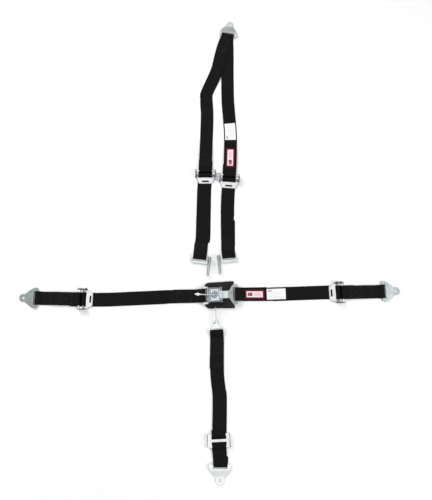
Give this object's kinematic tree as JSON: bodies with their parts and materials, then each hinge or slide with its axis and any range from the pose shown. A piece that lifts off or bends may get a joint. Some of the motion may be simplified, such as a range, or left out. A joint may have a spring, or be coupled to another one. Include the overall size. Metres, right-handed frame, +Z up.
{
  "type": "racing harness",
  "caption": "Five-point racing harness with a latch-and-link buckle on a pad, tilt-lock adjusters and bolt-in triangular brackets, laid out flat",
  "frame": {"origin": "centre of the underside of the pad below the buckle, on the floor that the harness lies on", "axes": "+X along the right-hand lap belt, +Y towards the shoulder bracket, +Z up off the floor"},
  "size_m": [1.4855, 1.8872, 0.0344],
  "materials": {
    "pad": "satin",
    "webbing": "woven",
    "pale_zinc": "zinc plated",
    "zinc": "zinc plated",
    "steel": "polished",
    "red_label": "woven",
    "white_label": "woven"
  },
  "bodies": {
    "buckle": {"buckle_pad": "pad", "latch_base": "pale_zinc", "latch_rivets": "steel", "catch_pin": "steel", "hinge_pin": "steel", "lever_springs": "steel"},
    "release_lever": {"latch_lever": "zinc", "lever_handle": "zinc"},
    "link": {"link_plate": "pale_zinc"},
    "lap_left_belt": {"lap_left_inner_strap": "webbing"},
    "lap_left_anchor_strap": {"lap_left_outer_strap": "webbing"},
    "lap_left_adjuster": {"lap_left_adjuster_frame": "zinc"},
    "lap_left_lock_bar": {"lap_left_adjuster_bar": "zinc", "lap_left_bar_wrap": "webbing"},
    "lap_left_end": {"lap_left_bracket": "pale_zinc"},
    "lap_right_belt": {"lap_right_inner_strap": "webbing", "lap_red_label": "red_label", "lap_white_label": "white_label"},
    "lap_right_anchor_strap": {"lap_right_outer_strap": "webbing"},
    "lap_right_adjuster": {"lap_right_adjuster_frame": "zinc"},
    "lap_right_lock_bar": {"lap_right_adjuster_bar": "zinc", "lap_right_bar_wrap": "webbing"},
    "lap_right_end": {"lap_right_bracket": "pale_zinc"},
    "shoulder_yoke": {"shoulder_left_top_strap": "webbing", "shoulder_left_upper_strap": "webbing", "shoulder_left_sewn_end": "webbing", "shoulder_right_upper_strap": "webbing", "shoulder_right_sewn_end": "webbing", "shoulder_red_label": "red_label", "shoulder_white_label": "white_label"},
    "shoulder_end": {"shoulder_bracket": "pale_zinc"},
    "shoulder_left_adjuster": {"shoulder_left_adjuster_frame": "zinc"},
    "shoulder_left_lock_bar": {"shoulder_left_adjuster_bar": "zinc", "shoulder_left_bar_wrap": "webbing"},
    "shoulder_left_strap": {"shoulder_left_lower_strap": "webbing"},
    "shoulder_left_tip": {"shoulder_left_end_fitting": "zinc"},
    "shoulder_right_adjuster": {"shoulder_right_adjuster_frame": "zinc"},
    "shoulder_right_lock_bar": {"shoulder_right_adjuster_bar": "zinc", "shoulder_right_bar_wrap": "webbing"},
    "shoulder_right_strap": {"shoulder_right_lower_strap": "webbing"},
    "shoulder_right_tip": {"shoulder_right_end_fitting": "zinc"},
    "sub_belt": {"sub_upper_strap": "webbing"},
    "sub_tip": {"sub_end_fitting": "zinc"},
    "sub_anchor_strap": {"sub_slide": "zinc", "sub_lower_strap": "webbing"},
    "sub_end": {"sub_bracket": "pale_zinc"}
  },
  "joints": [
    {"name": "release_lever_turn", "type": "hinge", "parent": "buckle", "child": "release_lever", "pos_m": [0.00799, 0.00032, 0.024], "axis": [-0.0401, 0.9992, 0], "range_deg": [0, 110]},
    {"name": "link_release", "type": "slide", "parent": "buckle", "child": "link", "axis": [0.9992, 0.0401, 0], "range_m": [0, 0.03]},
    {"name": "lap_left_belt_lift", "type": "hinge", "parent": "buckle", "child": "lap_left_belt", "pos_m": [-0.059, -0.0024, 0.0115], "axis": [-0.0401, 0.9992, 0], "range_deg": [0, 16]},
    {"name": "lap_right_belt_lift", "type": "hinge", "parent": "link", "child": "lap_right_belt", "pos_m": [0.06595, 0.00265, 0.0155], "axis": [0.0401, -0.9992, 0], "range_deg": [0, 45]},
    {"name": "lap_left_length", "type": "slide", "parent": "lap_left_belt", "child": "lap_left_anchor_strap", "axis": [-0.9997, 0.0244, 0], "range_m": [-0.04, 0.04]},
    {"name": "lap_left_adjuster_tilt", "type": "hinge", "parent": "lap_left_anchor_strap", "child": "lap_left_adjuster", "pos_m": [-0.54499, -0.01541, 0.009], "axis": [-0.0244, -0.9997, 0], "range_deg": [0, 30]},
    {"name": "lap_left_lock_bar_slip", "type": "slide", "parent": "lap_left_adjuster", "child": "lap_left_lock_bar", "axis": [-0.9997, 0.0244, 0], "range_m": [0, 0.0025]},
    {"name": "lap_left_bracket_turn", "type": "hinge", "parent": "lap_left_anchor_strap", "child": "lap_left_end", "pos_m": [-0.713, -0.0113, 0.0056], "axis": [0.0244, 0.9997, 0], "range_deg": [0, 40]},
    {"name": "lap_right_length", "type": "slide", "parent": "lap_right_belt", "child": "lap_right_anchor_strap", "axis": [0.9995, 0.0314, 0], "range_m": [-0.04, 0.04]},
    {"name": "lap_right_adjuster_tilt", "type": "hinge", "parent": "lap_right_anchor_strap", "child": "lap_right_adjuster", "pos_m": [0.48099, 0.00975, 0.009], "axis": [-0.0314, 0.9995, 0], "range_deg": [0, 30]},
    {"name": "lap_right_lock_bar_slip", "type": "slide", "parent": "lap_right_adjuster", "child": "lap_right_lock_bar", "axis": [0.9995, 0.0314, 0], "range_m": [0, 0.0025]},
    {"name": "lap_right_bracket_turn", "type": "hinge", "parent": "lap_right_anchor_strap", "child": "lap_right_end", "pos_m": [0.6395, 0.0147, 0.0056], "axis": [0.0314, -0.9995, 0], "range_deg": [0, 40]},
    {"name": "shoulder_harness_lift_off", "type": "slide", "parent": "buckle", "child": "shoulder_yoke", "axis": [0, 1, 0], "range_m": [0, 0.1]},
    {"name": "shoulder_bracket_turn", "type": "hinge", "parent": "shoulder_yoke", "child": "shoulder_end", "pos_m": [0.038, 1.1255, 0.0056], "axis": [0.9848, -0.1736, 0], "range_deg": [0, 40]},
    {"name": "shoulder_left_length", "type": "slide", "parent": "shoulder_yoke", "child": "shoulder_left_strap", "axis": [0, -1, 0], "range_m": [-0.035, 0.016]},
    {"name": "shoulder_left_adjuster_tilt", "type": "hinge", "parent": "shoulder_yoke", "child": "shoulder_left_adjuster", "pos_m": [-0.056, 0.508, 0.009], "axis": [-1, 0, 0], "range_deg": [0, 30]},
    {"name": "shoulder_left_lock_bar_slip", "type": "slide", "parent": "shoulder_left_adjuster", "child": "shoulder_left_lock_bar", "axis": [0, 1, 0], "range_m": [0, 0.0025]},
    {"name": "shoulder_left_tip_turn", "type": "hinge", "parent": "shoulder_left_strap", "child": "shoulder_left_tip", "pos_m": [-0.077, 0.147, 0.0056], "axis": [-0.9945, 0.1045, 0], "range_deg": [0, 50]},
    {"name": "shoulder_right_length", "type": "slide", "parent": "shoulder_yoke", "child": "shoulder_right_strap", "axis": [-0.0698, -0.9976, 0], "range_m": [-0.035, 0.016]},
    {"name": "shoulder_right_adjuster_tilt", "type": "hinge", "parent": "shoulder_yoke", "child": "shoulder_right_adjuster", "pos_m": [0.04167, 0.48894, 0.009], "axis": [-0.9976, 0.0698, 0], "range_deg": [0, 30]},
    {"name": "shoulder_right_lock_bar_slip", "type": "slide", "parent": "shoulder_right_adjuster", "child": "shoulder_right_lock_bar", "axis": [0.0698, 0.9976, 0], "range_m": [0, 0.0025]},
    {"name": "shoulder_right_tip_turn", "type": "hinge", "parent": "shoulder_right_strap", "child": "shoulder_right_tip", "pos_m": [0.0365, 0.152, 0.0056], "axis": [-0.9962, -0.0872, 0], "range_deg": [0, 50]},
    {"name": "sub_strap_lift_off", "type": "slide", "parent": "buckle", "child": "sub_belt", "axis": [0, -1, 0], "range_m": [0, 0.1]},
    {"name": "sub_tip_turn", "type": "hinge", "parent": "sub_belt", "child": "sub_tip", "pos_m": [-0.0105, -0.139, 0.0056], "axis": [0.999, 0.0436, 0], "range_deg": [0, 60]},
    {"name": "sub_strap_length", "type": "slide", "parent": "sub_belt", "child": "sub_anchor_strap", "axis": [0.0523, -0.9986, 0], "range_m": [-0.012, 0.025]},
    {"name": "sub_bracket_turn", "type": "hinge", "parent": "sub_anchor_strap", "child": "sub_end", "pos_m": [0.001, -0.6295, 0.0056], "axis": [-1, 0, 0], "range_deg": [0, 40]}
  ],
  "couplings": [
    {"joint": "link_release", "follows": "release_lever_turn", "m_per_rad": 0.015625}
  ]
}
